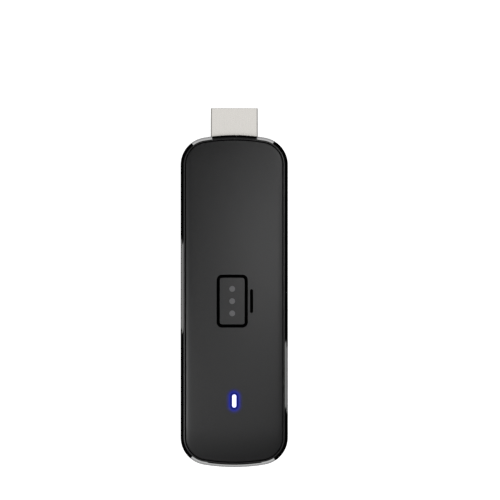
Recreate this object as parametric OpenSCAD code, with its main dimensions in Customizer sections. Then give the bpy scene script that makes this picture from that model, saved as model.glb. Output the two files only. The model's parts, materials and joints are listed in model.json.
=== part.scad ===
// Streaming media player, a television stick that plugs into an HDMI socket.
// It lies on its back: +Z comes out of the top cover, +Y points to the plug,
// and the origin is the centre of the flat underside.

/* [Case] */
// Width of the case
case_w = 31.6; // [31:0.1:36]
// Length of the case without the plug
case_l = 97.8; // [97.6:0.1:106]
// Height of the case
case_h = 14.0; // [14:0.1:16]
// Radius of the four upright corners
corner_r = 8.12; // [7:0.01:9]
// Radius of the bowed ends
crown_r = 54.52; // [50:0.01:70]
// Thickness of the side walls
wall = 1.4; // [1.3:0.05:1.5]
// Thickness of the floor
floor_t = 1.3; // [1.1:0.1:1.5]
// Height of the joint between the bottom cover and the side band
split_z = 6.5; // [6.3:0.1:6.6]
// Radius of the edge round the underside
base_r = 2.4; // [1.5:0.1:3]

/* [Top edge] */
// Width of the gloss chamfer seen from above
chamfer_w = 0.92; // [0.7:0.01:1.1]
// Height of the gloss chamfer
chamfer_h = 1.0; // [0.7:0.05:1.0]
// Width of the lip inside the chamfer
lip_w = 0.38; // [0.3:0.01:0.6]
// Width of the groove inside the lip
groove_w = 0.4; // [0.3:0.01:0.6]
// Depth of the groove
groove_d = 0.45; // [0.3:0.05:0.5]
// Rise of the panel from its edge to its middle
panel_rise = 0.4; // [0.2:0.05:0.5]

/* [Plug] */
// Width of the plug
plug_w = 13.9; // [13.8:0.05:14]
// Height of the plug
plug_h = 4.45; // [4.4:0.05:4.55]
// Length of the plug outside the case
plug_out = 8.0; // [7.5:0.5:12]
// Thickness of the plug's sheet metal
plug_t = 0.3; // [0.25:0.05:0.35]

/* [Status lens] */
// Width of the lens
lens_w = 1.58; // [1.2:0.02:2]
// Length of the lens
lens_l = 4.2; // [3.4:0.1:5]
// Place of the lens along the case
lens_y = -29.4; // [-31:0.1:-29.2]
// Width of the countersink round the lens
sink_w = 1.0; // [0.6:0.05:1.1]

/* [Reset button] */
// Length of the button
button_l = 4.0; // [3:0.1:4.5]
// Height of the button
button_h = 1.9; // [1.6:0.1:2]
// Place of the button along the case
button_y = -30; // [-32:0.5:-28]
// Travel of the button
button_travel = 0.25; // [0.15:0.05:0.3]

/* [Power inlet] */
// Place of the inlet along the case
power_y = -32; // [-33:0.5:-29]
// Width of the inlet's shell
power_w = 7.5; // [7.4:0.05:7.6]
// Height of the inlet's shell
power_h = 2.5; // [2.4:0.05:2.6]

/* [Board] */
// Thickness of the main board
board_t = 1.0; // [0.8:0.1:1.0]
// Gap between the board and the outside of the case
board_inset = 2.9; // [2.8:0.1:3.2]

/* [Hidden] */
$fn = 64;
CUT = 1;
half_w = case_w / 2;
half_l = case_l / 2;
crown_c = crown_r - half_l;
corner_x = half_w - corner_r;
corner_y = sqrt(pow(crown_r - corner_r, 2) - pow(corner_x, 2)) - crown_c;
seam_reach = 1.25;
band_top = case_h - 0.5;
ledge_z = band_top - chamfer_h - 0.1;
groove_floor = band_top - groove_d;
panel_inset = chamfer_w + lip_w + groove_w;
plate_cavity_z = ledge_z + 0.25;
skirt_z = 10.6;
tongue_top = split_z + 0.4;
inner_w = half_w - wall;
hook_root = inner_w - 0.3;
hook_tip = inner_w + 0.35;
hook_pocket = inner_w + 0.45;
plug_z = 7.0;
plug_tip = half_l + plug_out;
plug_back = 43.0;
plug_fit = 0.1;
board_z = plug_z - board_t / 2;
board_top = board_z + board_t;
board_end = 42.0;
lens_drop = 0.28;
button_z = board_top + 1.0;
button_fit = 0.15;
button_back = inner_w - 0.05;
button_sunk = 0.15;
switch_x = 9.6;
switch_d = 2.8;
switch_w = 4.0;
switch_h = 2.0;
switch_well_x = switch_x + 1.4;
plunger_x = switch_x + 2.3;
plunger_end = switch_x + 3.7;
// Clear space left between the plunger and the dome at the end of the travel
press_gap = 0.1;
power_z = board_top + power_h / 2;
power_d = 5.2;
power_mouth = half_w - 0.6;
screw_spots = [[10.4, 37], [-10.2, -40]];
screw_r = 0.7;
screw_l = 3.5;
screw_head_r = 1.5;
screw_head_h = 0.8;
boss_r = 1.8;
shield_w = 22;
shield_y = [-12, 33];
shield_h = 1.9;
sheet_t = 0.2;
lid_z = board_top + shield_h;
pad_t = 0.7;
spreader_z = lid_z + sheet_t + pad_t;
spreader_t = 1.2;
spreader_y = [-18, 38];
chip_y = 13;
chip_w = 14;
chip_h = 1.2;
memory_y = -4.5;
flash_y = 26;
wireless_at = [2.5, -19.2];
wireless_t = 0.8;
antenna_z = ledge_z - 0.15;
antenna_plug_at = [7.0, -36.0];
antenna_end_x = -4.0;
cable_d = 1.13;
cable_z = board_top + 0.7;
cable_bend = 2.5;
contact_pitch = 1.0;
contact_w = 0.45;
contact_t = 0.2;
label_size = [20, 26];
label_y = -25;
label_depth = 0.12;
label_gap = 0.02;
vent_w = 1.2;
vent_l = 8;
vent_rows = 8;
vent_pitch = 3.2;
vent_x = 5.5;
vent_y = 12;
top_hooks = [-14, 8, 30];
base_hooks = [-20, 0, 20];

// ---- Helpers ----

// A solid with the case's outline whose edge follows a list of [inset, z] points, lowest first.
// Each corner and each bowed end is a turned piece, so the edge is a true curved surface.
module case_solid(edge) {
    low = edge[0][1];
    high = edge[len(edge) - 1][1];
    // Where the line from the crown's centre through the corner's centre leaves the case
    seam = [corner_x * seam_reach, (corner_y + crown_c) * seam_reach - crown_c];
    far = corner_x + 2 * corner_r;
    for (end = [0, 1])
        mirror([0, end, 0]) {
            for (side = [0, 1])
                mirror([side, 0, 0])
                    intersection() {
                        translate([corner_x, corner_y, 0])
                            turned_edge(corner_r, edge);
                        translate([0, 0, low - CUT])
                            linear_extrude(high - low + 2 * CUT)
                                polygon([[corner_x, corner_y], [far, corner_y], [far, seam[1]], seam]);
                    }
            intersection() {
                translate([0, -crown_c, 0])
                    turned_edge(crown_r, edge, $fn = 256);
                translate([0, 0, low - CUT])
                    linear_extrude(high - low + 2 * CUT)
                        polygon([[-corner_x, corner_y], [corner_x, corner_y], seam, [-seam[0], seam[1]]]);
            }
        }
    rotate([90, 0, 0])
        linear_extrude(2 * corner_y, center = true)
            polygon([
                each [for (p = edge) [half_w - p[0], p[1]]],
                each [for (i = [len(edge) - 1:-1:0]) [edge[i][0] - half_w, edge[i][1]]]
            ]);
}

// A disc of radius r whose edge follows the same list of points.
module turned_edge(r, edge) {
    rotate_extrude()
        polygon([[0, edge[0][1]], each [for (p = edge) [r - p[0], p[1]]], [0, edge[len(edge) - 1][1]]]);
}

// A slab with the case's outline.
module slab(inset, low, high) {
    case_solid([[inset, low], [inset, high]]);
}

// An upright wall that follows the case's outline.
module ring(outer, inner, low, high) {
    difference() {
        slab(outer, low, high);
        slab(inner, low - CUT, high + CUT);
    }
}

// A box from its corner points.
module block(low, high) {
    translate(low)
        cube(high - low);
}

// A box that stands on height z, centred on a place.
module chip(at, size, z) {
    translate([at[0] - size[0] / 2, at[1] - size[1] / 2, z])
        cube(size);
}

// A flat slot shape with round ends, its length along Y.
module slot_shape(w, l) {
    square([w, l - w], center = true);
    for (end = [-1, 1])
        translate([0, end * (l - w) / 2])
            circle(d = w);
}

// A rectangle with round corners.
module round_rect(size, r) {
    square([size[0], size[1] - 2 * r], center = true);
    square([size[0] - 2 * r, size[1]], center = true);
    for (x = [-1, 1], y = [-1, 1])
        translate([x * (size[0] / 2 - r), y * (size[1] / 2 - r)])
            circle(r);
}

// The plug's section, grown by g: round upper corners, bevelled lower corners.
module plug_shape(g) {
    w = plug_w / 2 + g;
    h = plug_h / 2 + g;
    r = 0.5 + g;
    bevel = 1.4;
    polygon([[w, h - r], [-w, h - r], [-w, bevel - h], [bevel - w, -h], [w - bevel, -h], [w, bevel - h]]);
    translate([r - w, 0])
        square([2 * (w - r), h]);
    for (side = [-1, 1])
        translate([side * (w - r), h - r])
            circle(r);
}

// A shape on the plug's section carried along Y.
module along_plug(from, to) {
    translate([0, to, plug_z])
        rotate([90, 0, 0])
            linear_extrude(to - from)
                children();
}

// The hole that the plug passes through.
module plug_hole() {
    along_plug(plug_back - 1, plug_tip)
        plug_shape(plug_fit);
}

// Small barbs on the two long sides, each from x = inner to x = outer.
module side_barbs(spots, inner, outer, low, high, length) {
    for (side = [0, 1], y = spots)
        mirror([side, 0, 0])
            block([inner, y - length / 2, low], [outer, y + length / 2, high]);
}

// ---- Case ----

module top_cover() {
    plate_top = groove_floor;
    panel_edge = band_top + 0.1;
    color("#2f2f30")
        difference() {
            union() {
                slab(chamfer_w, ledge_z, plate_top);
                ring(chamfer_w, chamfer_w + lip_w, plate_top, band_top);
                case_solid([[panel_inset, plate_top], [panel_inset, panel_edge],
                    [panel_inset + 0.7, panel_edge + panel_rise * 0.5],
                    [panel_inset + 3, panel_edge + panel_rise * 0.85],
                    [corner_r - 1, case_h]]);
                ring(wall + 0.1, wall + 0.9, skirt_z, ledge_z);
                side_barbs(top_hooks, hook_root, hook_tip, 11.2, 11.8, 4);
            }
            slab(wall + 2, ledge_z - CUT, plate_cavity_z);
            plug_hole();
            lens_opening();
        }
}

// The slot for the lens, with its countersink.
module lens_opening() {
    sink = lens_w / 2 + sink_w;
    low = case_h - lens_drop;
    translate([0, lens_y, 0]) {
        translate([0, 0, ledge_z - CUT])
            linear_extrude(low - ledge_z + CUT + 0.01)
                slot_shape(lens_w, lens_l);
        for (end = [-1, 1])
            translate([0, end * (lens_l - lens_w) / 2, low])
                cylinder(h = lens_drop + 0.02, r1 = lens_w / 2, r2 = sink);
        rotate([90, 0, 0])
            linear_extrude(lens_l - lens_w, center = true)
                polygon([[-lens_w / 2, low], [lens_w / 2, low], [sink, case_h + 0.02], [-sink, case_h + 0.02]]);
    }
}

module side_band() {
    color("#050506")
        difference() {
            case_solid([[0, split_z], [0, band_top - chamfer_h], [0.25, band_top - chamfer_h * 0.5],
                [chamfer_w - 0.06, band_top]]);
            slab(wall, split_z - CUT, ledge_z);
            slab(chamfer_w, ledge_z - 0.01, band_top + CUT);
            plug_hole();
            power_window();
            button_window();
            side_barbs(top_hooks, hook_root, hook_pocket, 11.1, 11.9, 4.4);
            side_barbs(base_hooks, hook_root, hook_pocket, 8.7, 9.5, 5.4);
        }
}

module power_window() {
    translate([-half_w - CUT, power_y, power_z])
        rotate([90, 0, 90])
            linear_extrude(wall + 2 * CUT)
                round_rect([power_w + 0.5, power_h + 0.5], 0.6);
}

module button_window() {
    translate([half_w - wall - CUT, button_y, button_z])
        rotate([90, 0, 90])
            linear_extrude(wall + 2 * CUT)
                rotate([0, 0, 90])
                    slot_shape(button_h + 2 * button_fit, button_l + 2 * button_fit);
}

module bottom_cover() {
    edge = quarter_round(0, 0, base_r);
    cavity = quarter_round(wall, floor_t, base_r - 0.6);
    color("#232324")
        difference() {
            union() {
                difference() {
                    case_solid([each edge, [0, split_z]]);
                    case_solid([each cavity, [wall, split_z + CUT]]);
                }
                ring(wall + 0.05, wall + 0.7, split_z - 0.8, tongue_top);
                ring(wall - 0.05, wall + 0.7, split_z - 0.8, split_z - 0.1);
                base_tabs();
                for (at = screw_spots)
                    translate([at[0], at[1], floor_t - 0.2])
                        cylinder(h = board_z - floor_t + 0.2, r = boss_r);
            }
            plug_hole();
            vents();
            label_recess();
            for (at = screw_spots)
                translate([at[0], at[1], floor_t + 0.6])
                    cylinder(h = board_z, r = screw_r);
            ring_gap();
        }
}

// Points of a quarter circle from a flat floor up to an upright wall, as [inset, z].
function quarter_round(inset, z, r, steps = 5) =
    [for (i = [0:steps]) [hundredth(inset + r * (1 - sin(90 * i / steps))),
        hundredth(z + r * (1 - cos(90 * i / steps)))]];

function hundredth(v) = round(v * 100) / 100;

// Upright tabs whose barbs snap into the side band.
module base_tabs() {
    tab_back = inner_w - 0.85;
    tab_face = inner_w - 0.05;
    side_barbs(base_hooks, tab_back, tab_face, split_z - 0.8, 9.6, 5);
    side_barbs(base_hooks, tab_face - 0.01, hook_tip, 8.8, 9.4, 5);
}

// Room in the tongue for the button's flange.
module ring_gap() {
    reach = 3.2;
    block([inner_w - 1, button_y - reach, split_z + 0.01], [inner_w + 0.5, button_y + reach, split_z + 2]);
}

module vents() {
    for (side = [-1, 1], row = [0:vent_rows - 1])
        translate([side * vent_x, vent_y + row * vent_pitch, -CUT])
            linear_extrude(floor_t + 2 * CUT)
                rotate([0, 0, 90])
                    slot_shape(vent_w, vent_l);
}

module label_recess() {
    translate([0, label_y, -CUT])
        linear_extrude(label_depth + CUT)
            round_rect(label_size, 1.2);
}

module rating_label() {
    color("#3a3b3d")
        translate([0, label_y, label_gap])
            linear_extrude(label_depth - label_gap)
                round_rect([label_size[0] - 0.3, label_size[1] - 0.3], 1.05);
}

module light_pipe() {
    foot = board_top + 1.1;
    flange = ledge_z - 0.7;
    color("#dfe8ff")
        translate([0, lens_y, 0]) {
            translate([0, 0, foot])
                linear_extrude(case_h - lens_drop - foot)
                    slot_shape(lens_w - 0.04, lens_l - 0.04);
            translate([0, 0, flange])
                linear_extrude(plate_cavity_z - flange)
                    slot_shape(lens_w + 1.6, lens_l + 1.6);
        }
}

// ---- HDMI plug ----

module hdmi_shell() {
    seam = 0.06;
    latch_x = 3.2;
    latch_back = 4.2;
    latch_d = 1.3;
    color("#cfcbc6")
        difference() {
            along_plug(plug_back, plug_tip)
                plug_shape(0);
            along_plug(plug_back - CUT, plug_tip + CUT)
                plug_shape(-plug_t);
            block([-seam, plug_back - CUT, plug_z - plug_h / 2 - CUT],
                [seam, plug_tip + CUT, plug_z - plug_h / 2 + plug_t + 0.1]);
            for (side = [-1, 1])
                translate([side * latch_x, plug_tip - latch_back, plug_z - plug_h])
                    cylinder(h = plug_h, d = latch_d);
        }
}

module hdmi_insulator() {
    front = plug_tip - 0.6;
    slot_w = 11.2;
    slot_h = board_t + 2 * contact_t;
    color("#1b1b1c")
        difference() {
            along_plug(board_end, front)
                plug_shape(-plug_t - 0.05);
            along_plug(front - 7, front + CUT)
                square([slot_w, slot_h], center = true);
            along_plug(board_end - CUT, front)
                for (i = [0:18])
                    translate([contact_x(i), contact_side(i) * (slot_h - contact_t) / 2])
                        square([contact_w, contact_t], center = true);
        }
}

// Nineteen contacts, 0.5 mm apart, alternately in the upper and the lower row.
function contact_x(i) = (i - 9) * contact_pitch / 2;
function contact_side(i) = i % 2 == 0 ? 1 : -1;

module hdmi_contacts(side) {
    color("#d2a64a")
        for (i = [0:18])
            if (contact_side(i) == side)
                chip([contact_x(i), (board_end + plug_tip) / 2 - 1.8],
                    [contact_w, plug_tip - board_end + 1, contact_t],
                    side > 0 ? board_top : board_z - contact_t);
}

module hdmi_contacts_upper() {
    hdmi_contacts(1);
}

module hdmi_contacts_lower() {
    hdmi_contacts(-1);
}

module hdmi_bracket() {
    roof = plug_z + plug_h / 2 + 0.02;
    half = plug_w / 2 + 0.5;
    back = board_end - 1.8;
    bracket_t = 0.3;
    color("#c9c9c6") {
        block([-half, back, roof], [half, 45.0, roof + bracket_t]);
        for (side = [0, 1])
            mirror([side, 0, 0])
                block([half - bracket_t, back, board_top], [half, board_end - 0.2, roof]);
    }
}

// ---- Power inlet ----

module power_port_shell() {
    color("#c4c5c6")
        translate([-power_mouth, power_y, power_z])
            rotate([90, 0, 90])
                difference() {
                    linear_extrude(power_d)
                        round_rect([power_w, power_h], 0.7);
                    translate([0, 0, -CUT])
                        linear_extrude(power_d + CUT - 0.3)
                            round_rect([power_w - 0.6, power_h - 0.6], 0.4);
                }
}

module power_port_tongue() {
    color("#151516")
        translate([-power_mouth, power_y, power_z]) {
            block([0.6, -1.9, 0.02], [power_d - 0.3, 1.9, 0.55]);
            block([power_d - 1.5, -3.3, -0.9], [power_d - 0.3, 3.3, 0.02]);
        }
}

module power_port_contacts() {
    count = 5;
    pitch = 0.65;
    color("#d2a64a")
        for (i = [0:count - 1])
            translate([-power_mouth, power_y + (i - (count - 1) / 2) * pitch, power_z])
                block([0.9, -0.2, -0.12], [power_d - 1.5, 0.2, 0.02]);
}

// ---- Board ----

module main_board() {
    color("#174a2c")
        difference() {
            intersection() {
                slab(board_inset, board_z, board_top);
                block([-half_w, -half_l, board_z - CUT], [half_w, board_end, board_top + CUT]);
            }
            for (at = screw_spots)
                translate([at[0], at[1], board_z - CUT])
                    cylinder(h = board_t + 2 * CUT, r = screw_r + 0.2);
        }
}

module board_screws() {
    color("#b9babb")
        for (at = screw_spots)
            translate([at[0], at[1], 0])
                difference() {
                    union() {
                        translate([0, 0, board_z - screw_l])
                            cylinder(h = board_t + screw_l, r = screw_r);
                        translate([0, 0, board_top])
                            cylinder(h = screw_head_h, r = screw_head_r);
                    }
                    for (turn = [0, 90])
                        rotate([0, 0, turn])
                            block([-0.8, -0.15, board_top + 0.4], [0.8, 0.15, board_top + 1]);
                }
}

module processor() {
    color("#1e1f21")
        chip([0, chip_y], [chip_w, chip_w, chip_h], board_top);
}

module processor_pad() {
    color("#8fa3b5")
        chip([0, chip_y], [chip_w, chip_w, shield_h - chip_h], board_top + chip_h);
}

module shield_frame() {
    length = shield_y[1] - shield_y[0];
    middle = [0, (shield_y[0] + shield_y[1]) / 2];
    rim = 0.8;
    color("#bfc2c4")
        difference() {
            chip(middle, [shield_w, length, shield_h], board_top);
            chip(middle, [shield_w - 2 * sheet_t, length - 2 * sheet_t, shield_h], board_top - sheet_t);
            chip(middle, [shield_w - 2 * rim, length - 2 * rim, shield_h], board_top + sheet_t);
        }
}

module shield_lid() {
    length = shield_y[1] - shield_y[0];
    middle = [0, (shield_y[0] + shield_y[1]) / 2];
    grow = 2 * (sheet_t + 0.02);
    skirt = 1.0;
    color("#c8cacc")
        difference() {
            chip(middle, [shield_w + grow, length + grow, skirt + sheet_t], lid_z - skirt);
            chip(middle, [shield_w + 0.04, length + 0.04, skirt + CUT], lid_z - skirt - CUT);
        }
}

module spreader_pad() {
    color("#8fa3b5")
        chip([0, chip_y - 2], [18, 30, pad_t], lid_z + sheet_t);
}

module heat_spreader() {
    length = spreader_y[1] - spreader_y[0];
    fin_pitch = 4;
    fin_gap = 1.6;
    fin_h = 0.5;
    color("#d3d5d8")
        translate([0, (spreader_y[0] + spreader_y[1]) / 2, spreader_z])
            difference() {
                linear_extrude(spreader_t)
                    round_rect([24, length], 2);
                for (i = [-6:6])
                    translate([0, i * fin_pitch, spreader_t])
                        cube([19, fin_gap, 2 * fin_h], center = true);
            }
}

module graphite_sheet() {
    color("#3c3e42")
        translate([0, (spreader_y[0] + spreader_y[1]) / 2, spreader_z + spreader_t])
            linear_extrude(0.1)
                round_rect([22, spreader_y[1] - spreader_y[0] - 2], 1.5);
}

module memory_chip(side) {
    color("#232427")
        chip([side * 5.3, memory_y], [9, 13, 1.0], board_top);
}

module memory_chip_1() {
    memory_chip(-1);
}

module memory_chip_2() {
    memory_chip(1);
}

module flash_chip() {
    color("#232427")
        chip([0, flash_y], [13, 11.5, 1.0], board_top);
}

module power_chip() {
    color("#232427")
        chip([-6.6, -30.6], [3, 3, 0.8], board_top);
}

module port_guard_chips() {
    color("#232427")
        for (i = [-1.5:1.5])
            chip([i * 4, 36.4], [2.5, 1.2, 0.6], board_top);
}

// ---- Wireless ----

module wireless_board() {
    color("#123a6b")
        chip(wireless_at, [12, 12.2, wireless_t], board_top);
}

module wireless_can() {
    color("#c8cacc")
        chip(wireless_at, [11, 10.4, 1.4], board_top + wireless_t);
}

module antenna_sheet() {
    color("#c47a2c")
        translate([0, -39.4, antenna_z])
            linear_extrude(0.15)
                round_rect([18, 8], 1);
}

module antenna_cable() {
    run = antenna_plug_at[0] - 1.1 - antenna_end_x - cable_bend;
    turn = [antenna_end_x + cable_bend, antenna_plug_at[1], cable_z + cable_bend];
    color("#1c1c1d") {
        translate([turn[0], turn[1], cable_z])
            rotate([0, 90, 0])
                cylinder(h = run, d = cable_d);
        translate(turn)
            rotate([90, 0, 0])
                rotate([0, 0, 180])
                    rotate_extrude(angle = 90)
                        translate([cable_bend, 0])
                            circle(d = cable_d);
        translate([antenna_end_x, turn[1], turn[2]])
            cylinder(h = antenna_z - turn[2], d = cable_d);
    }
}

module antenna_plug() {
    color("#d6c69a")
        translate([antenna_plug_at[0], antenna_plug_at[1], board_top]) {
            cylinder(h = 1.25, r = 1.1);
        }
}

// ---- Small parts ----

module main_crystal() {
    color("#d0d0cc")
        chip([-9.9, 36.8], [3.2, 2.5, 0.8], board_top);
}

module wireless_crystal() {
    color("#d0d0cc")
        chip([-7.5, -20], [2.5, 2.0, 0.7], board_top);
}

module power_inductor(at) {
    size = 4;
    height = 1.9;
    color("#4b4a48")
        translate([at[0], at[1], board_z - height]) {
            for (z = [0, height - 0.5])
                translate([0, 0, z])
                    linear_extrude(0.5)
                        round_rect([size, size], 0.5);
            translate([0, 0, 0.5])
                cylinder(h = height - 1, r = 1.6);
        }
}

module power_inductor_1() {
    power_inductor([-7, -23]);
}

module power_inductor_2() {
    power_inductor([-7, -16]);
}

module power_inductor_3() {
    power_inductor([7, -36]);
}

module bulk_capacitor(at) {
    color("#c9963a")
        chip(at, [2.8, 3.5, 1.9], board_z - 1.9);
}

module bulk_capacitor_1() {
    bulk_capacitor([6, -23]);
}

module bulk_capacitor_2() {
    bulk_capacitor([6, -16]);
}

module ceramic_capacitors() {
    color("#b59a78")
        for (column = [-2:2], row = [0:5])
            chip([column * 3, chip_y - 7.5 + row * 3], [1.0, 0.5, 0.5], board_z - 0.5);
}

module resistors() {
    color("#17181a")
        for (i = [-3:3])
            chip([i * 2, -42], [0.8, 1.6, 0.45], board_top);
}

module status_led() {
    color("#e8e4c0")
        chip([0, lens_y], [0.8, 1.6, 0.6], board_top);
}

module light_gasket() {
    color("#101011")
        translate([0, lens_y, board_top])
            difference() {
                linear_extrude(2.4)
                    slot_shape(lens_w + 2.6, lens_l + 2.6);
                translate([0, 0, -CUT])
                    linear_extrude(2.4 + 2 * CUT)
                        slot_shape(lens_w + 0.3, lens_l + 0.3);
            }
}

// ---- Reset button and its switch ----

module reset_button() {
    cap = half_w - button_sunk;
    color("#0b0b0c")
        translate([0, button_y, button_z])
            rotate([90, 0, 90])
                rotate([0, 0, 90]) {
                    translate([0, 0, button_back - 0.7])
                        linear_extrude(0.7)
                            slot_shape(button_h + 1, button_l + 1.2);
                    translate([0, 0, button_back - 0.1])
                        linear_extrude(cap - button_back + 0.1)
                            slot_shape(button_h, button_l);
                    translate([0, 0, plunger_end])
                        linear_extrude(button_back - plunger_end)
                            square([0.9, 1.8], center = true);
                }
}

module reset_switch_body() {
    color("#ece9e2")
        difference() {
            translate([switch_x, button_y - switch_w / 2, board_top])
                cube([switch_d, switch_w, switch_h]);
            block([switch_well_x, button_y - 1.1, button_z - 0.6],
                [switch_x + switch_d + CUT, button_y + 1.1, button_z + 0.6]);
        }
}

module reset_switch_frame() {
    top = board_top + switch_h;
    t = 0.15;
    color("#c4c5c6") {
        translate([switch_x, button_y - switch_w / 2, top])
            cube([switch_d, switch_w, t]);
        for (side = [-1, 1])
            translate([switch_x, button_y + side * (switch_w + t) / 2 - t / 2, board_top])
                cube([switch_d, t, switch_h + t]);
    }
}

module reset_switch_dome() {
    crown = plunger_x - button_travel - press_gap;
    color("#d9c07a") {
        translate([switch_well_x, button_y - 0.8, button_z - 0.5])
            cube([0.1, 1.6, 1]);
        translate([switch_well_x, button_y, button_z])
            rotate([0, 90, 0])
                cylinder(h = crown - switch_well_x, r = 0.35);
    }
}

module reset_switch_plunger() {
    color("#1a1a1b")
        block([plunger_x, button_y - 0.9, button_z - 0.45], [plunger_end, button_y + 0.9, button_z + 0.45]);
}

top_cover();
side_band();
bottom_cover();
light_pipe();
rating_label();
hdmi_shell();
hdmi_insulator();
hdmi_contacts_upper();
hdmi_contacts_lower();
hdmi_bracket();
power_port_shell();
power_port_tongue();
power_port_contacts();
main_board();
board_screws();
processor();
processor_pad();
shield_frame();
shield_lid();
spreader_pad();
heat_spreader();
graphite_sheet();
memory_chip_1();
memory_chip_2();
flash_chip();
power_chip();
port_guard_chips();
wireless_board();
wireless_can();
antenna_sheet();
antenna_cable();
antenna_plug();
main_crystal();
wireless_crystal();
power_inductor_1();
power_inductor_2();
power_inductor_3();
bulk_capacitor_1();
bulk_capacitor_2();
ceramic_capacitors();
resistors();
status_led();
light_gasket();
reset_button();
reset_switch_body();
reset_switch_frame();
reset_switch_dome();
reset_switch_plunger();
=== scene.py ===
import json
import math

import bpy
import numpy as np
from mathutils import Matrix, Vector

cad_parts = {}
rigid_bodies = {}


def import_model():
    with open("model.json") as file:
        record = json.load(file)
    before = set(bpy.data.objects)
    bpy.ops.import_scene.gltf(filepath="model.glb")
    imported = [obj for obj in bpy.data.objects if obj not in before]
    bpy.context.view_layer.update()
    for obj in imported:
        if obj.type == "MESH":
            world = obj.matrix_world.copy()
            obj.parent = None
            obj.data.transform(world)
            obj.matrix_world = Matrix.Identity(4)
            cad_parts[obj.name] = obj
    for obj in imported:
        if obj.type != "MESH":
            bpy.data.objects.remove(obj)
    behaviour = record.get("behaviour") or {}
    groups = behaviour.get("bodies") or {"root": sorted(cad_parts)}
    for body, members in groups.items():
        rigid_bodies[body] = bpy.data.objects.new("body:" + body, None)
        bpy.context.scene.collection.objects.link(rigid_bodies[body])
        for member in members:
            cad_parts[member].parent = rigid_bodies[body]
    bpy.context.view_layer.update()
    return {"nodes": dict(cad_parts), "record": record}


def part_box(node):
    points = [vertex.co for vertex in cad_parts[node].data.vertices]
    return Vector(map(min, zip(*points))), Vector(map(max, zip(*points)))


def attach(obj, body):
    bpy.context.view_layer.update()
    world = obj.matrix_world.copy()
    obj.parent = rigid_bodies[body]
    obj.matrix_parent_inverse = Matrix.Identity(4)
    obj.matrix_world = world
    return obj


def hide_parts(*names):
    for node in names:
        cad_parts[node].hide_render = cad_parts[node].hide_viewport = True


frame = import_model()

# ---- Sizes, in millimetres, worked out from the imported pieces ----

MM = 0.001


def box_mm(node):
    """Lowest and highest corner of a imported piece, in millimetres."""
    low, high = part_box(node)
    return np.array(low) / MM, np.array(high) / MM


band_low, band_high = box_mm("side_band")
HALF_W = band_high[0]
HALF_L = -band_low[1]
SPLIT_Z = band_low[2]
LIP_Z = band_high[2]
# The panel's middle stays just under the highest point of the cover
TOP_Z = box_mm("top_cover")[1][2] - 0.02
# The cover rests on a ledge inside the band
LEDGE_Z = 12.4
# The outline: corner arcs, and ends bowed on a large circle whose centre is CROWN_C past the middle
CORNER_R = 8.12
CROWN_R = 54.52
CROWN_C = CROWN_R - HALF_L
CORNER_X = HALF_W - CORNER_R
CORNER_Y = math.sqrt((CROWN_R - CORNER_R) ** 2 - CORNER_X ** 2) - CROWN_C
CORNER_TURN = math.atan2(CORNER_Y + CROWN_C, CORNER_X)
WALL = 1.4
FLOOR_T = 1.3
BASE_R = 2.4
# From the outside in: the band's chamfer, the cover's lip, the groove, then the panel
CHAMFER_W = 0.89
LIP_W = 0.40
GROOVE_W = 0.32
GROOVE_D = 0.55
PANEL_INSET = CHAMFER_W + LIP_W + GROOVE_W
# Gap between the two pieces of a seam, on each side of it
SEAM = 0.03

pipe_low, pipe_high = box_mm("light_pipe")
LENS_Y = (pipe_low[1] + pipe_high[1]) / 2
LENS_W = 1.58
LENS_L = 4.20
LENS_TOP = pipe_high[2]
# The panel's rings end this far out from the lens, where its countersink starts
SINK_W = 1.15

shell_low, shell_high = box_mm("hdmi_shell")
PLUG_TIP = shell_high[1]
PLUG_BACK = shell_low[1]
PLUG_W = shell_high[0] * 2
PLUG_Z = (shell_low[2] + shell_high[2]) / 2
PLUG_H = shell_high[2] - shell_low[2]
PLUG_T = 0.3

power_low, power_high = box_mm("power_port_shell")
POWER_AT = (power_low[1] + power_high[1]) / 2, (power_low[2] + power_high[2]) / 2
POWER_SIZE = power_high[1] - power_low[1], power_high[2] - power_low[2]
button_low, button_high = box_mm("reset_button")
BUTTON_AT = (button_low[1] + button_high[1]) / 2, (button_low[2] + button_high[2]) / 2
BUTTON_SIZE = 4.0, 1.9

label_low, label_high = box_mm("rating_label")
LABEL_Y = (label_low[1] + label_high[1]) / 2
LABEL_SIZE = label_high[0] - label_low[0], label_high[1] - label_low[1]

# ---- Outlines and lofts ----


def arc_points(centre, radius, start, end, count):
    """Points on a circle from one angle to another, the last one left out, and their outward normals."""
    angle = np.linspace(start, end, count + 1)[:-1]
    normal = np.column_stack([np.cos(angle), np.sin(angle)])
    return np.array(centre) + radius * normal, normal


def case_outline():
    """The case seen from above: a straight side, a corner arc, a bowed end and a corner arc,
    then the same four turned half round. Returns the points and their outward normals."""
    y = np.linspace(-CORNER_Y, CORNER_Y, 101)[:-1]
    side = np.column_stack([np.full_like(y, HALF_W), y]), np.tile([1.0, 0.0], (len(y), 1))
    near = arc_points((CORNER_X, CORNER_Y), CORNER_R, 0, CORNER_TURN, 28)
    crown = arc_points((0, -CROWN_C), CROWN_R, CORNER_TURN, math.pi - CORNER_TURN, 40)
    far = arc_points((-CORNER_X, CORNER_Y), CORNER_R, math.pi - CORNER_TURN, math.pi, 28)
    points = np.vstack([side[0], near[0], crown[0], far[0]])
    normals = np.vstack([side[1], near[1], crown[1], far[1]])
    return np.vstack([points, -points]), np.vstack([normals, -normals])


CASE_POINTS, CASE_NORMALS = case_outline()


def case_ring(inset, z):
    """The case's outline moved straight inwards by an inset, at a height."""
    flat = CASE_POINTS - inset * CASE_NORMALS
    return np.column_stack([flat, np.full(len(flat), float(z))])


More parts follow.
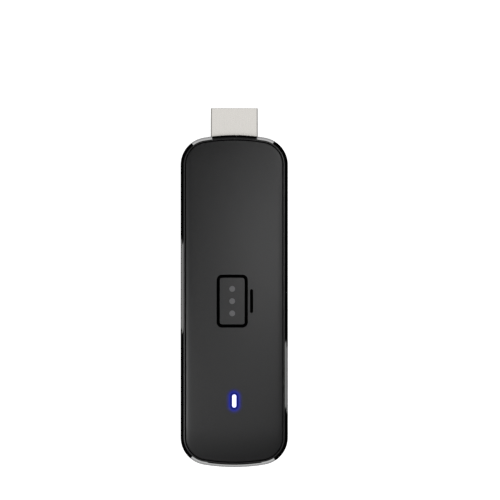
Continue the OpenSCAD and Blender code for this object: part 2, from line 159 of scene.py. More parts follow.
def rounded_polygon(corners, radii, steps=8):
    """A polygon, corners anticlockwise, with each corner rounded to its radius.
    Each arc is its centre plus radius times a normal that turns from one side's to the next's."""
    corners = np.array(corners, float)
    points, normals = [], []
    for i, corner in enumerate(corners):
        before = corner - corners[i - 1]
        after = corners[(i + 1) % len(corners)] - corner
        a = math.atan2(-before[0], before[1])
        b = math.atan2(-after[0], after[1])
        b += 2 * math.pi if b < a else 0
        na, nb = np.array([math.cos(a), math.sin(a)]), np.array([math.cos(b), math.sin(b)])
        centre = corner - radii[i] * (na + nb) / (1 + na @ nb)
        angle = np.linspace(a, b, steps + 1)
        normal = np.column_stack([np.cos(angle), np.sin(angle)])
        points.append(centre + radii[i] * normal)
        normals.append(normal)
    return np.vstack(points), np.vstack(normals)


def rounded_rect(width, height, radius, steps=8):
    """A rectangle with round corners, centred, as points and outward normals."""
    w, h = width / 2, height / 2
    return rounded_polygon([(-w, -h), (w, -h), (w, h), (-w, h)], [radius] * 4, steps)


def section_ring(section, grow, place):
    """A section grown along its normals, each point (u, v) sent to space by place(u, v)."""
    flat = section[0] + grow * section[1]
    return np.column_stack([np.broadcast_to(c, len(flat)) for c in place(flat[:, 0], flat[:, 1])])


def bend(start, tilt_from, tilt_to, radius, steps):
    """A round stretch of an edge profile, as [inset, z] points after start. Its normal tilts from
    one angle off vertical to another: inset changes by radius times the drop in sine, z by
    radius times the rise in cosine."""
    tilt = np.radians(np.linspace(tilt_from, tilt_to, steps + 1)[1:])
    first = math.radians(tilt_from)
    inset = start[0] + radius * (math.sin(first) - np.sin(tilt))
    z = start[1] + radius * (np.cos(tilt) - math.cos(first))
    return [tuple(p) for p in np.column_stack([inset, z])]


def loft_faces(rings, around, wrap):
    """Quads between neighbouring rings of points; wrap also joins the last ring to the first."""
    rows = np.arange(rings if wrap else rings - 1)[:, None]
    cols = np.arange(around)[None, :]
    up, right = (rows + 1) % rings, (cols + 1) % around
    here, above = rows * around, up * around
    quads = np.stack([here + cols, here + right, above + right, above + cols], -1)
    return quads.reshape(-1, 4).tolist()


def loft(rings, wrap=False):
    """A closed skin over rings of equal length: wrapped into a tube, or capped flat at both ends."""
    rings = np.array(rings)
    count, around = rings.shape[:2]
    faces = loft_faces(count, around, wrap)
    if not wrap:
        faces.append(list(range(around - 1, -1, -1)))
        faces.append(list(range((count - 1) * around, count * around)))
    return rings.reshape(-1, 3), faces


def upright(section, x, y, steps):
    """A bar that stands at (x, y) on a section in X and Y: one ring for each (grow, z) pair."""
    return loft([section_ring(section, grow, lambda u, v, z=z: (u + x, v + y, z)) for grow, z in steps])


def prism_along(section, axis_x, steps):
    """A bar along X whose section lies in Y and Z, round axis_x: one ring for each (x, grow) pair."""
    return loft([section_ring(section, grow, lambda u, v, x=x: (x, u + axis_x[0], v + axis_x[1]))
                 for x, grow in steps])


def enclosed_volume(points, faces):
    """Signed volume, as the sum of a face fan's triple products."""
    total = 0.0
    quads = np.array([f for f in faces if len(f) == 4])
    if len(quads):
        a, b, c, d = (points[quads[:, i]] for i in range(4))
        total += np.einsum("ij,ij->", a, np.cross(b, c)) + np.einsum("ij,ij->", a, np.cross(c, d))
    for f in faces:
        if len(f) != 4:
            ring = points[f]
            total += np.einsum("ij,ij->", np.broadcast_to(ring[0], ring[1:-1].shape),
                               np.cross(ring[1:-1], ring[2:]))
    return total / 6


def join_skins(*skins):
    """Several closed skins as one mesh."""
    points, faces, base = [], [], 0
    for p, f in skins:
        points.append(p)
        faces += [[i + base for i in face] for face in f]
        base += len(p)
    return np.vstack(points), faces


def make_mesh(name, skin):
    """An object at the origin whose mesh is the skin, in metres, with faces outward."""
    points, faces = skin
    if enclosed_volume(points, faces) < 0:
        faces = [f[::-1] for f in faces]
    mesh = bpy.data.meshes.new(name)
    mesh.from_pydata((points * MM).tolist(), [], faces)
    mesh.update()
    obj = bpy.data.objects.new(name, mesh)
    bpy.context.collection.objects.link(obj)
    return obj


def cut_away(obj, *cutters):
    """Takes cutter shapes out of a piece and keeps the result as its mesh."""
    for cutter in cutters:
        tool = obj.modifiers.new("cut", "BOOLEAN")
        tool.operation = "DIFFERENCE"
        tool.solver = "EXACT"
        tool.object = cutter
    bpy.context.view_layer.update()
    depsgraph = bpy.context.evaluated_depsgraph_get()
    result = bpy.data.meshes.new_from_object(obj.evaluated_get(depsgraph))
    obj.modifiers.clear()
    obj.data = result
    for cutter in cutters:
        bpy.data.objects.remove(cutter)


def finish_piece(obj, slot, *nodes, body="case", sharp=35, finish=None):
    """Smooth shading with sharp creases, a finish, the body it rides on and the nodes it stands for."""
    mesh = obj.data
    mesh.polygons.foreach_set("use_smooth", np.ones(len(mesh.polygons), bool))
    mesh.set_sharp_from_angle(angle=math.radians(sharp))
    mesh.materials.clear()
    mesh.materials.append(finish or FINISHES[slot])
    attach(obj, body)
    if nodes:
        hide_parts(*nodes)
    return obj


# ---- Finishes ----


def linear(colour):
    """An sRGB hex colour as linear red, green, blue and full alpha."""
    value = np.array([int(colour[i:i + 2], 16) for i in (1, 3, 5)]) / 255
    return (*np.where(value <= 0.04045, value / 12.92, ((value + 0.055) / 1.055) ** 2.4), 1.0)


def add(tree, kind, inputs, **settings):
    """Adds a node with its settings; an input is a value or another node's output."""
    node = tree.nodes.new(kind)
    for key, value in settings.items():
        setattr(node, key, value)
    for key, value in inputs.items():
        if isinstance(value, bpy.types.NodeSocket):
            tree.links.new(value, node.inputs[key])
        else:
            node.inputs[key].default_value = value
    return node


def new_finish(name, **shader):
    """An empty finish: its tree and its Principled shader with constant settings."""
    material = bpy.data.materials.new(name)
    material.use_nodes = True
    tree = material.node_tree
    tree.nodes.clear()
    body = add(tree, "ShaderNodeBsdfPrincipled", shader)
    add(tree, "ShaderNodeOutputMaterial", {"Surface": body.outputs[0]})
    return material, tree, body


# Noise values mostly lie between these two
GRAIN_LOW = 0.3
GRAIN_HIGH = 0.7


def fine_grain(tree, size_mm, detail=2.0):
    """Noise whose grains are a real size, on object coordinates."""
    place = add(tree, "ShaderNodeTexCoord", {}).outputs["Object"]
    return add(tree, "ShaderNodeTexNoise", {"Vector": place, "Scale": 1 / (size_mm * MM), "Detail": detail,
                                           "Roughness": 0.6})


def grain_bump(tree, grain, depth_mm, strength):
    """Bump from a grain's value."""
    return add(tree, "ShaderNodeBump", {"Height": grain.outputs["Fac"], "Distance": depth_mm * MM,
                                        "Strength": strength}).outputs["Normal"]


def between(tree, value, low, high):
    """A value from 0 to 1 turned into a number between two others."""
    return add(tree, "ShaderNodeMapRange", {"Value": value, "From Min": GRAIN_LOW, "From Max": GRAIN_HIGH,
                                            "To Min": low, "To Max": high}).outputs["Result"]


def shades(tree, value, dark, light):
    """A value from 0 to 1 turned into a colour between two others."""
    return colour_stops(tree, value, ((GRAIN_LOW, dark), (GRAIN_HIGH, light)))


def maths(tree, operation, a, b=0.0):
    """One sum on two numbers."""
    return add(tree, "ShaderNodeMath", {0: a, 1: b}, operation=operation).outputs[0]


def lens_distance(tree):
    """Distance from the lens's edge, in millimetres and negative inside it: the distance to the
    lens's middle line, from which half its width is taken."""
    place = add(tree, "ShaderNodeTexCoord", {}).outputs["Object"]
    axes = add(tree, "ShaderNodeSeparateXYZ", {"Vector": place})
    along = maths(tree, "ABSOLUTE", maths(tree, "SUBTRACT", axes.outputs["Y"], LENS_Y * MM))
    past_end = maths(tree, "MAXIMUM", maths(tree, "SUBTRACT", along, (LENS_L - LENS_W) / 2 * MM), 0.0)
    across = maths(tree, "MULTIPLY", axes.outputs["X"], axes.outputs["X"])
    reach = maths(tree, "SQRT", maths(tree, "ADD", across, maths(tree, "MULTIPLY", past_end, past_end)))
    return maths(tree, "DIVIDE", maths(tree, "SUBTRACT", reach, LENS_W / 2 * MM), MM)


def colour_stops(tree, value, stops):
    """A colour that runs through stops, each a position from 0 to 1 and a hex colour. The first
    two stops are the ends."""
    ramp = add(tree, "ShaderNodeValToRGB", {"Fac": value})
    marks = ramp.color_ramp.elements
    for i, (position, colour) in enumerate(stops):
        mark = marks[i] if i < 2 else marks.new(position)
        mark.position = position
        mark.color = linear(colour)
    return ramp.outputs["Color"]


def blend_colours(tree, share, first, second):
    """Two colours mixed by a share from 0 to 1."""
    return add(tree, "ShaderNodeMix", {"Factor": share, 6: first, 7: second}, data_type="RGBA").outputs[2]


# How far the painted blue glow reaches from the lens, in millimetres
GLOW_REACH = 1.9
# The painted glow by how far out it is, as stops: over the matt skin, and on the dull foot beside the lens
SKIN_GLOW = ((0.0, "#0d0d5c"), (1.0, "#000000"), (0.39, "#040880"), (0.47, "#02066c"), (0.63, "#00034a"),
             (0.80, "#00022c"))
FOOT_GLOW = ((0.0, "#0c1054"), (1.0, "#000000"), (0.10, "#0e1462"), (0.20, "#182280"), (0.30, "#283090"),
             (0.40, "#2c348a"))
# The lens from its rim inwards, over the first LENS_RIM millimetres
LENS_RIM = 0.32
LENS_STOPS = ((0.0, "#0d0d5c"), (1.0, "#ffffff"), (0.34, "#20229c"), (0.72, "#b4bcf4"))


def lens_glow(tree, body, stops):
    """Painted glow: deep blue emission on the plastic round the lens, standing in for the lens's light
    spilling onto it, which dies away outwards. Returns how far out a point is, from 0 at the lens to 1
    where the glow ends."""
    reach = add(tree, "ShaderNodeMapRange", {"Value": lens_distance(tree),
                                             "From Max": GLOW_REACH}).outputs["Result"]
    tree.links.new(colour_stops(tree, reach, stops), body.inputs["Emission Color"])
    body.inputs["Emission Strength"].default_value = 1.0
    return reach


def painted_shade_abs(name, glows=False):
    """Painted shade: a near-black finish that hardly reflects, standing in for the shade deep in the
    narrow groove and in the foot of the lens's countersink. Beside the lens it also carries the painted
    blue glow."""
    material, tree, body = new_finish(name, IOR=1.5, **{"Specular IOR Level": 0.12})
    grain = fine_grain(tree, 0.3)
    tree.links.new(shades(tree, grain.outputs["Fac"], "#030303", "#070707"), body.inputs["Base Color"])
    tree.links.new(between(tree, grain.outputs["Fac"], 0.8, 0.95), body.inputs["Roughness"])
    if glows:
        lens_glow(tree, body, FOOT_GLOW)
    return material


def spark_eroded_abs():
    """Black ABS moulded against a spark-eroded tool: fine soft grain and a wide dull highlight.
    Round the lens, painted shade darkens its colour in the countersink and a painted glow adds deep blue."""
    material, tree, body = new_finish("spark_eroded_black_abs", IOR=1.5)
    # Real grain is about 0.1 mm; it is drawn at 0.35 mm so that it shows.
    grain = fine_grain(tree, 0.35)
    # Painted blue glow on the skin round the lens
    reach = lens_glow(tree, body, SKIN_GLOW)
    # Painted shade: close to the lens the colour is blended to near black, for the shade in its
    # countersink
    near = add(tree, "ShaderNodeMapRange", {"Value": reach, "From Min": 0.35}).outputs["Result"]
    skin = shades(tree, grain.outputs["Fac"], "#19191a", "#1f1f20")
    tree.links.new(blend_colours(tree, near, linear("#010104"), skin), body.inputs["Base Color"])
    tree.links.new(between(tree, grain.outputs["Fac"], 0.33, 0.39), body.inputs["Roughness"])
    tree.links.new(grain_bump(tree, grain, 0.02, 0.25), body.inputs["Normal"])
    return material


def piano_black_abs():
    """Black ABS from a mirror-polished tool: deep black with hard reflections and faint moulding flow."""
    material, tree, body = new_finish("piano_black_abs", IOR=1.52, **{"Base Color": linear("#010101")})
    # Flow marks in the moulding are some 4 mm long
    flow = fine_grain(tree, 4.0)
    tree.links.new(between(tree, flow.outputs["Fac"], 0.02, 0.045), body.inputs["Roughness"])
    tree.links.new(grain_bump(tree, flow, 0.01, 0.02), body.inputs["Normal"])
    return material


def satin_nickel():
    """Nickel plate on drawn steel: bright, slightly warm, with a soft satin from the drawing die."""
    material, tree, body = new_finish("satin_nickel", Metallic=1.0)
    place = add(tree, "ShaderNodeTexCoord", {}).outputs["Object"]
    # Drawing lines 0.25 mm apart that run along the plug
    stretched = add(tree, "ShaderNodeMapping", {"Vector": place, "Scale": (1.0, 0.04, 1.0)})
    lines = add(tree, "ShaderNodeTexNoise", {"Vector": stretched.outputs["Vector"],
                                             "Scale": 1 / (0.25 * MM), "Detail": 3.0})
    tree.links.new(shades(tree, lines.outputs["Fac"], "#d7d4cf", "#dddad5"), body.inputs["Base Color"])
    tree.links.new(between(tree, lines.outputs["Fac"], 0.24, 0.32), body.inputs["Roughness"])
    tree.links.new(grain_bump(tree, lines, 0.004, 0.10), body.inputs["Normal"])
    return material


def lit_polycarbonate():
    """Clear polycarbonate with a white light-emitting diode behind it: an even white that turns
    deep blue at the rim, where the light leaves the lens at a slant."""
    material, tree, body = new_finish("lit_polycarbonate", IOR=1.58, Roughness=0.3)
    inside = add(tree, "ShaderNodeMapRange", {"Value": lens_distance(tree),
                                              "From Max": -LENS_RIM}).outputs["Result"]
    lit = colour_stops(tree, inside, LENS_STOPS)
    tree.links.new(lit, body.inputs["Emission Color"])
    tree.links.new(lit, body.inputs["Base Color"])
    body.inputs["Emission Strength"].default_value = 1.0
    return material


def plain_moulding(name, dark, light, grain_mm, rough_low, rough_high, detail=2.0, bump=(0.01, 0.2),
                   **shader):
    """A moulded or pressed surface with grain of a real size in its colour, roughness and bump.
    The bump is its depth in millimetres and its strength."""
    material, tree, body = new_finish(name, **shader)
    grain = fine_grain(tree, grain_mm, detail)
    tree.links.new(shades(tree, grain.outputs["Fac"], dark, light), body.inputs["Base Color"])
    tree.links.new(between(tree, grain.outputs["Fac"], rough_low, rough_high), body.inputs["Roughness"])
    tree.links.new(grain_bump(tree, grain, *bump), body.inputs["Normal"])
    return material


def solder_mask(name, mask, trace):
    """Glass-epoxy board under solder mask: glossy, with copper tracks that run in blocks, along the
    board in some and across it in others, and stand up a little."""
    material, tree, body = new_finish(name, IOR=1.55, Roughness=0.25)
    place = add(tree, "ShaderNodeTexCoord", {}).outputs["Object"]
    # Blocks are some 4 mm across
    blocks = add(tree, "ShaderNodeTexVoronoi", {"Vector": place, "Scale": 1 / (4.0 * MM),
                                                "Randomness": 0.6}, distance="CHEBYCHEV")
    pick = add(tree, "ShaderNodeSeparateColor", {"Color": blocks.outputs["Color"]})
    # Real tracks are some 0.3 mm apart; they are drawn 1.884 mm apart so that they show. The wave
    # node's own bands are 0.314 apart.
    tracks = [add(tree, "ShaderNodeTexWave", {"Vector": place, "Scale": 0.314 / (1.884 * MM)},
                  bands_direction=way).outputs["Fac"] for way in ("X", "Y")]
    across = maths(tree, "GREATER_THAN", pick.outputs["Red"], 0.5)
    chosen = add(tree, "ShaderNodeMix", {"Factor": across, 2: tracks[0], 3: tracks[1]}, data_type="FLOAT")
    empty = maths(tree, "GREATER_THAN", pick.outputs["Green"], 0.35)
    raised = maths(tree, "MULTIPLY", maths(tree, "GREATER_THAN", chosen.outputs[0], 0.55), empty)
    tree.links.new(blend_colours(tree, raised, linear(mask), linear(trace)), body.inputs["Base Color"])
    bump = add(tree, "ShaderNodeBump", {"Height": raised, "Distance": 0.03 * MM, "Strength": 0.5})
    tree.links.new(bump.outputs["Normal"], body.inputs["Normal"])
    return material


METAL = {"Metallic": 1.0}
FINISHES = {
    "cover_matte": spark_eroded_abs(),
    "band_gloss": piano_black_abs(),
    # Black ABS moulded against a coarser spark-eroded tool
    "base_matte": plain_moulding("coarse_black_abs", "#161617", "#1e1e1f", 0.3, 0.50, 0.62, detail=3.0,
                                 bump=(0.03, 0.35)),
    "plug_nickel": satin_nickel(),
    "lens_clear": lit_polycarbonate(),
    # Blank polyester label: a smooth satin film
    "label_film": plain_moulding("satin_polyester_film", "#2b2c2e", "#303133", 0.6, 0.30, 0.36),
    # Black ABS, lightly textured
    "button_black": plain_moulding("fine_black_abs", "#0d0d0e", "#121213", 0.2, 0.36, 0.44),
    # Matt tin over sheet steel: grey, cloudy, with dull patches where the tin froze
    "tin_plate": plain_moulding("matt_tin_plate", "#b4b6b8", "#cfd0d0", 1.2, 0.30, 0.46, **METAL),
    # Glass-filled liquid crystal polymer: dense black with a dry, streaky skin
    "black_lcp": plain_moulding("glass_filled_polymer", "#0b0b0c", "#171718", 0.25, 0.48, 0.62),
    # Hard gold over nickel: deep yellow and bright
    "gold_contact": plain_moulding("hard_gold_plate", "#d9a441", "#f0c060", 0.4, 0.16, 0.26, **METAL),
    "board_green": solder_mask("green_solder_mask", "#0d4a26", "#1b6a38"),
    "board_blue": solder_mask("blue_solder_mask", "#0b2f5e", "#1a4d8a"),
    # Moulded epoxy: charcoal with a fine even grain from the mould
    "chip_epoxy": plain_moulding("moulded_epoxy", "#17181a", "#212225", 0.12, 0.50, 0.62),
    # Zinc plate, passivated: bright with a faint cloud
    "screw_steel": plain_moulding("clear_zinc_plate", "#b9bcc0", "#d2d4d6", 0.5, 0.22, 0.36, **METAL),
    # Filled silicone: soft blue-grey, slightly lumpy
    "thermal_pad": plain_moulding("filled_silicone", "#7d93a6", "#8ea3b4", 0.5, 0.62, 0.78),
    # Stamped aluminium: pale, with a soft rolled grain
    "spreader_metal": plain_moulding("rolled_aluminium", "#c9cbcd", "#dcdddf", 0.6, 0.30, 0.42, **METAL),
    # Rolled graphite: dark grey with a dull metallic sheen
    "graphite": plain_moulding("rolled_graphite", "#2a2c30", "#3c3e43", 0.4, 0.36, 0.48, Metallic=0.6),
    # Polyimide film over copper: amber and shiny
    "antenna_film": plain_moulding("polyimide_film", "#9c5a1c", "#b97428", 0.9, 0.20, 0.30),
    # Fluoropolymer jacket: smooth and slightly waxy black
    "cable_jacket": plain_moulding("fluoropolymer_jacket", "#131314", "#1b1b1c", 0.3, 0.30, 0.38),
    # Nickel can with a seam-welded lid
    "crystal_can": plain_moulding("bright_nickel_can", "#c7c6c1", "#d8d7d2", 0.5, 0.20, 0.30, **METAL),
    # Sintered ferrite: dark, dry and pitted
    "ferrite": plain_moulding("sintered_ferrite", "#2e2c2a", "#423f3c", 0.2, 0.62, 0.78),
    # Moulded tantalum: opaque amber epoxy
    "tantalum": plain_moulding("amber_epoxy", "#b07f2a", "#c8963c", 0.3, 0.42, 0.52),
    # Fired barium titanate: tan and slightly glazed
    "ceramic_tan": plain_moulding("fired_tan_ceramic", "#a38768", "#b79b7b", 0.15, 0.36, 0.48),
    # Glass-glazed resistor film: black and shiny
    "resistor_black": plain_moulding("glazed_resistor_film", "#0e0e10", "#1a1a1d", 0.15, 0.22, 0.32),
    # Silicone-filled white reflector cup: ivory
    "led_body": plain_moulding("ivory_reflector_cup", "#e0dcc0", "#efeccf", 0.3, 0.30, 0.42),
    # Closed-cell foam: dull black with open pores
    "foam_black": plain_moulding("closed_cell_foam", "#070708", "#1d1d1f", 0.18, 0.82, 0.95),
    # Moulded nylon: waxy off-white
    "switch_white": plain_moulding("moulded_nylon", "#d9d6ca", "#e8e5da", 0.3, 0.40, 0.52),
    # Stainless spring steel: warm and smooth
    "dome_steel": plain_moulding("stainless_spring_steel", "#b5ad96", "#c9c2ac", 0.4, 0.18, 0.28, **METAL),
}
# Painted shade in black: the groove, and the same with the painted blue glow for the foot beside the lens
GROOVE_PAINTED_SHADE = painted_shade_abs("painted_groove_shade")
FOOT_PAINTED_SHADE_AND_GLOW = painted_shade_abs("painted_foot_shade_and_glow", glows=True)
# Pad-printed black ink: deeper than the cover
INK_BLACK = plain_moulding("gloss_black_ink", "#010101", "#030303", 0.3, 0.10, 0.16)
# Pad-printed grey ink: a shade lighter than the cover
INK_GREY = plain_moulding("satin_grey_ink", "#5a5a5c", "#636365", 0.3, 0.38, 0.45)

# ---- Top cover ----

# The panel's fall at its edge and the distances it dies away in, along the sides and at the ends
EDGE_FALL = 0.18
EDGE_SOFTNESS = 0.8
END_SOFTNESS = 3.2
# How much lower the cover is at its sides than along its middle
CROSS_CROWN = 0.30
# The downward slope by the lens end: its gradient, where it starts and the width of its blend
FRONT_SLOPE = 0.055
FRONT_START = 7.0
FRONT_BLEND = 1.1
# A distance past the start that is far enough away for no slope at all
FRONT_NONE = -30
# The lip's flat leans outwards by this many degrees, between two small rounds
LIP_TILT = 12
LIP_ROUND = 0.05


def depth_inside(x, y):
    """Distance from the case's outline to a point inside it: the nearest of the side wall,
    the bowed end and, in a corner's sector, the corner arc."""
    x, y = np.abs(x), np.abs(y)
    side = HALF_W - x
    end = CROWN_R - np.hypot(x, y + CROWN_C)
    corner = CORNER_R - np.hypot(x - CORNER_X, y - CORNER_Y)
    in_corner = (x > CORNER_X) & (y > CORNER_Y) & (np.arctan2(y - CORNER_Y, x - CORNER_X) < CORNER_TURN)
    return np.where(in_corner, corner, np.minimum(side, end))


def panel_height(x, y):
    """Height of the crowned panel: the top less a slight parabola across, less a fall that
    dies away exponentially from the panel's edge, more slowly at the two ends. By the lens, the
    last stretch also slopes down, blended in as slope times width times log(1 + exp(t)), where t
    is how far past its start a point is, over the width."""
    depth = np.maximum(depth_inside(x, y) - PANEL_INSET, 0)
    end = np.maximum(CROWN_R - np.hypot(x, np.abs(y) + CROWN_C) - PANEL_INSET, 0)
    edge = 1 - (1 - np.exp(-depth / EDGE_SOFTNESS)) * (1 - np.exp(-end / END_SOFTNESS))
    past = np.where(y < 0, (FRONT_START - end) / FRONT_BLEND, FRONT_NONE)
    front = FRONT_SLOPE * FRONT_BLEND * np.log1p(np.exp(past))
    return TOP_Z - CROSS_CROWN * (x / HALF_W) ** 2 - EDGE_FALL * edge - front


def on_panel(ring, lift=0.0):
    """The points of a ring laid on the panel, or lifted above it."""
    return np.column_stack([ring[:, :2], panel_height(ring[:, 0], ring[:, 1]) + lift])


def lens_ring(outer, grow, lift):
    """A ring round the lens, lifted above the panel, with one point for each point of an outer ring,
    on the line from the lens's centre to it: the stadium's radius is half width over cosine on
    its straight sides, and on its ends the distance to the end circle."""
    angle = np.arctan2(outer[:, 1] - LENS_Y, outer[:, 0])
    c, s = np.abs(np.cos(angle)), np.abs(np.sin(angle))
    half, straight = LENS_W / 2 + grow, (LENS_L - LENS_W) / 2
    on_side = half * s <= straight * c
    round_end = straight * s + np.sqrt(np.maximum(half ** 2 - (straight * c) ** 2, 0))
    radius = np.where(on_side, half / np.maximum(c, 1e-6), round_end)
    flat = np.column_stack([radius * np.cos(angle), LENS_Y + radius * np.sin(angle)])
    return on_panel(flat, lift)


def top_cover():
    """The cover as one closed skin: up the outside of the lip, over its flat that leans outwards,
    down into the groove, up to the crowned panel, in to the lens's countersink, down its slot and
    back underneath. The groove and the countersink's foot take painted shade as finishes of their
    own, and the foot also a painted glow."""
    groove_z = LIP_Z - GROOVE_D
    outside = CHAMFER_W + SEAM
    lip_in = CHAMFER_W + LIP_W
    run = lip_in - outside - 2 * LIP_ROUND
    rise = run * math.tan(math.radians(LIP_TILT))
    profile = [(outside, LEDGE_Z + 0.02), (outside, LIP_Z - LIP_ROUND - rise)]
    profile += bend(profile[-1], 90, LIP_TILT, LIP_ROUND, 4)
    profile += bend((profile[-1][0] + run, profile[-1][1] + rise), LIP_TILT, -90, LIP_ROUND, 6)
    groove_from = len(profile) - 1
    profile += [(lip_in, groove_z + 0.08), (lip_in + 0.03, groove_z + 0.02), (lip_in + 0.10, groove_z),
                (PANEL_INSET - 0.10, groove_z), (PANEL_INSET - 0.03, groove_z + 0.02),
                (PANEL_INSET, groove_z + 0.08)]
    rings = [case_ring(inset, z) for inset, z in profile]
    # The panel's rim starts below its final height, so the wall of the groove is upright.
    groove_to = len(rings)
    rim_steps = [(0.0, 0.10), (0.02, 0.045), (0.06, 0.012), (0.12, 0.0)]
    rim_steps += [(inset, 0.0) for inset in np.geomspace(0.2, 3.6, 14)]
    rings += [on_panel(case_ring(PANEL_INSET + inset, 0), -drop) for inset, drop in rim_steps]
    outer = rings[-1]
    rim = lens_ring(outer, SINK_W, 0)
    rings += [on_panel(outer + (rim - outer) * share) for share in np.linspace(0, 1, 71)[1:]]
    rings += [lens_ring(outer, *step) for step in ((1.0, -0.005), (0.9, -0.015), (0.75, -0.035))]
    foot_from = len(rings) - 1
    foot_steps = ((0.5, -0.065), (0.25, -0.10), (0.08, -0.125), (0.03, -0.15))
    rings += [lens_ring(outer, *step) for step in foot_steps]
    foot_to = len(rings)
    foot = lens_ring(outer, 0.02, 0)
    foot[:, 2] = LEDGE_Z + 0.25
    rings.append(foot)
    wide = case_ring(WALL + 2, LEDGE_Z + 0.25)
    rings += [foot + (wide - foot) * share for share in (0.33, 0.66, 1.0)]
    rings.append(case_ring(WALL + 2, LEDGE_Z + 0.02))
    cover = finish_piece(make_mesh("cover_shell", loft(rings, wrap=True)), "cover_matte", "top_cover")
    around = len(CASE_POINTS)
    # The groove's rings and the countersink foot's rings get the painted shade finishes
    own = ((groove_from, groove_to, GROOVE_PAINTED_SHADE), (foot_from, foot_to, FOOT_PAINTED_SHADE_AND_GLOW))
    for first, last, finish in own:
        cover.data.materials.append(finish)
        slot = np.zeros(len(cover.data.polygons), int)
        cover.data.polygons.foreach_get("material_index", slot)
        slot[first * around:last * around] = len(cover.data.materials) - 1
        cover.data.polygons.foreach_set("material_index", slot)


def light_pipe():
    """The status lens: a stadium bar with a rounded top edge and a flange under the cover."""
    section = rounded_rect(LENS_W - 0.04, LENS_L - 0.04, LENS_W / 2 - 0.02, 12)
    flange = LEDGE_Z - 0.7
    steps = [(0, pipe_low[2]), (0, flange), (0.75, flange), (0.8, flange + 0.05), (0.8, LEDGE_Z + 0.2),
             (0, LEDGE_Z + 0.24), (0, LENS_TOP - 0.12), (-0.02, LENS_TOP - 0.06), (-0.06, LENS_TOP - 0.02),
             (-0.12, LENS_TOP)]
    pipe = make_mesh("status_lens", upright(section, 0, LENS_Y, steps))
    finish_piece(pipe, "lens_clear", "light_pipe")


# ---- Side band ----


# How a cutter widens at the outer face, as (depth below the face, grow): a soft edge is left
MOUTH_FLARE = [(-0.5, 0.62), (0.0, 0.12), (0.05, 0.055), (0.14, 0.0)]
# How far the chamfer's normal tilts off vertical at its outer and its inner edge, in degrees, and
# how far below the top of the band the chamfer starts
CHAMFER_STEEP = 44
CHAMFER_FLAT = 27
CHAMFER_RISE = 0.76
# Small round between the upright wall and the chamfer
BAND_ROUND = 0.05


def plug_section():
    """The plug's D-shaped section: round upper corners and bevelled lower corners, in X and Z."""
    w, h = PLUG_W / 2, PLUG_H / 2
    bevel = 1.4
    corners = [(-w + bevel, -h), (w - bevel, -h), (w, -h + bevel), (w, h), (-w, h), (-w, -h + bevel)]
    return rounded_polygon(corners, [0.35, 0.35, 0.45, 0.5, 0.5, 0.45])


def along_plug(section, steps):
    """Rings of the plug's section, one for each (y, grow) pair."""
    return [section_ring(section, grow, lambda u, v, y=y: (u, y, v + PLUG_Z)) for y, grow in steps]


def plug_window():
    """The opening in the case's end for the plug."""
    rings = along_plug(plug_section(), [(PLUG_BACK - 2, 0.12), (PLUG_TIP, 0.12)])
    return make_mesh("plug_window", loft(rings))


def side_windows():
    """Cutters for the power inlet and the button, each flared at the outer face for a soft edge."""
    inlet = rounded_rect(POWER_SIZE[0] + 0.5, POWER_SIZE[1] + 0.5, 0.6)
    slot = rounded_rect(BUTTON_SIZE[0] + 0.3, BUTTON_SIZE[1] + 0.3, BUTTON_SIZE[1] / 2 + 0.14)
    steps = [(-depth, grow) for depth, grow in MOUTH_FLARE] + [(-WALL - 1, 0.0)]
    left = prism_along(inlet, POWER_AT, [(-HALF_W - x, grow) for x, grow in steps])
    right = prism_along(slot, BUTTON_AT, [(HALF_W + x, grow) for x, grow in steps])
    return [make_mesh("inlet_window", left), make_mesh("button_window", right)]


def side_band():
    """The gloss band as a closed skin: a crisp lower edge, an upright wall, a small round, a long
    convex chamfer, the edge beside the lip, and back down inside."""
    lower = SPLIT_Z + SEAM
    inner = CHAMFER_W + 0.01
    profile = [(0.16, lower), (0.07, lower + 0.03), (0.02, lower + 0.09), (0.0, lower + 0.18)]
    wall_top = LIP_Z - CHAMFER_RISE
    profile += [(0.0, z) for z in np.linspace(lower + 0.6, wall_top, 5)]
    profile += bend(profile[-1], 90, CHAMFER_STEEP, BAND_ROUND, 4)
    run = CHAMFER_W - BAND_ROUND - profile[-1][0]
    spread = math.sin(math.radians(CHAMFER_STEEP)) - math.sin(math.radians(CHAMFER_FLAT))
    profile += bend(profile[-1], CHAMFER_STEEP, CHAMFER_FLAT, run / spread, 8)
    profile += [(inner - 0.02, profile[-1][1] + 0.012), (inner, profile[-1][1] - 0.01)]
    profile += [(inner, LEDGE_Z + 0.01), (WALL, LEDGE_Z + 0.01), (WALL, lower)]
    band = make_mesh("gloss_band", loft([case_ring(*p) for p in profile], wrap=True))
    cut_away(band, plug_window(), *side_windows())
    finish_piece(band, "band_gloss", "side_band")


# ---- Bottom cover and label ----

VENT_ROWS = 8
VENT_PITCH = 3.2
VENT_W = 1.2
VENT_L = 8.0
# Middle of the first slot on each side
VENT_X = 5.5
VENT_Y = 12.0
LABEL_CORNER = 1.05


def vent_cutter():
    """All the vent slots as one cutter: stadium bars whose mouths flare at the outer face."""
    section = rounded_rect(VENT_L, VENT_W, VENT_W / 2)
    steps = [(grow, depth) for depth, grow in MOUTH_FLARE] + [(0.0, FLOOR_T + 0.5)]
    bars = [upright(section, side * VENT_X, VENT_Y + row * VENT_PITCH, steps)
            for side in (-1, 1) for row in range(VENT_ROWS)]
    return make_mesh("vent_cutter", join_skins(*bars))


def label_cutter():
    """The shallow recess for the label."""
    section = rounded_rect(LABEL_SIZE[0] + 0.3, LABEL_SIZE[1] + 0.3, LABEL_CORNER + 0.15)
    steps = [(0.05, -0.5), (0.05, 0.0), (0.0, 0.13)]
    return make_mesh("label_cutter", upright(section, 0, LABEL_Y, steps))


